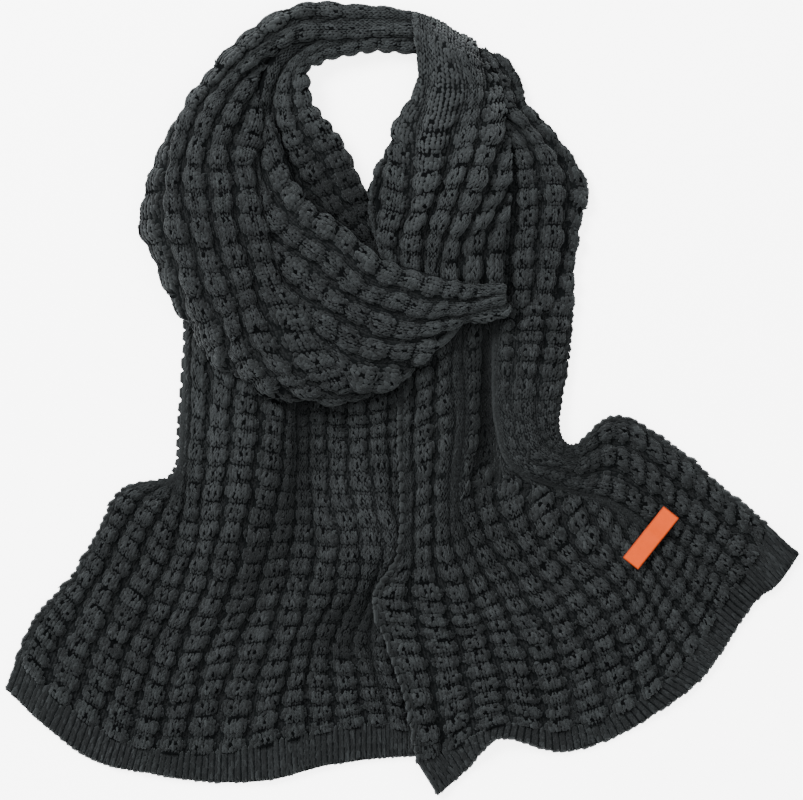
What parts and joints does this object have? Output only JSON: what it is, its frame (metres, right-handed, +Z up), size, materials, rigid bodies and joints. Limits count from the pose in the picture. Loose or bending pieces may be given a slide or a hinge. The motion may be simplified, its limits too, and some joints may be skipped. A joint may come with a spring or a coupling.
{
  "type": "knit scarf",
  "caption": "Chunky ribbed knit scarf laid out flat: wound once round an open neck, with both tails fanned out, fine-ribbed cuffs and a small plain tag.",
  "frame": {"origin": "centre of the laid-out scarf's bounding box, on the surface it lies on", "axes": "+Z up, away from the surface; +Y from the tails towards the back of the neck; +X to the right seen from above"},
  "size_m": [0.637, 0.6363, 0.0481],
  "materials": {
    "knit": "soft matte wool-blend yarn",
    "cuff_knit": "soft matte yarn, fine 1x1 rib",
    "hidden_knit": "soft matte yarn in shade",
    "tag": "smooth matte tan leather"
  },
  "bodies": {
    "root": {"collar_left": "knit", "front_loop": "knit", "front_right": "knit", "hidden_wraps": "hidden_knit", "leather_tag": "tag", "left_hem": "cuff_knit", "left_tail": "knit", "right_hem": "cuff_knit", "right_shoulder": "knit", "right_tail": "knit"}
  },
  "joints": []
}
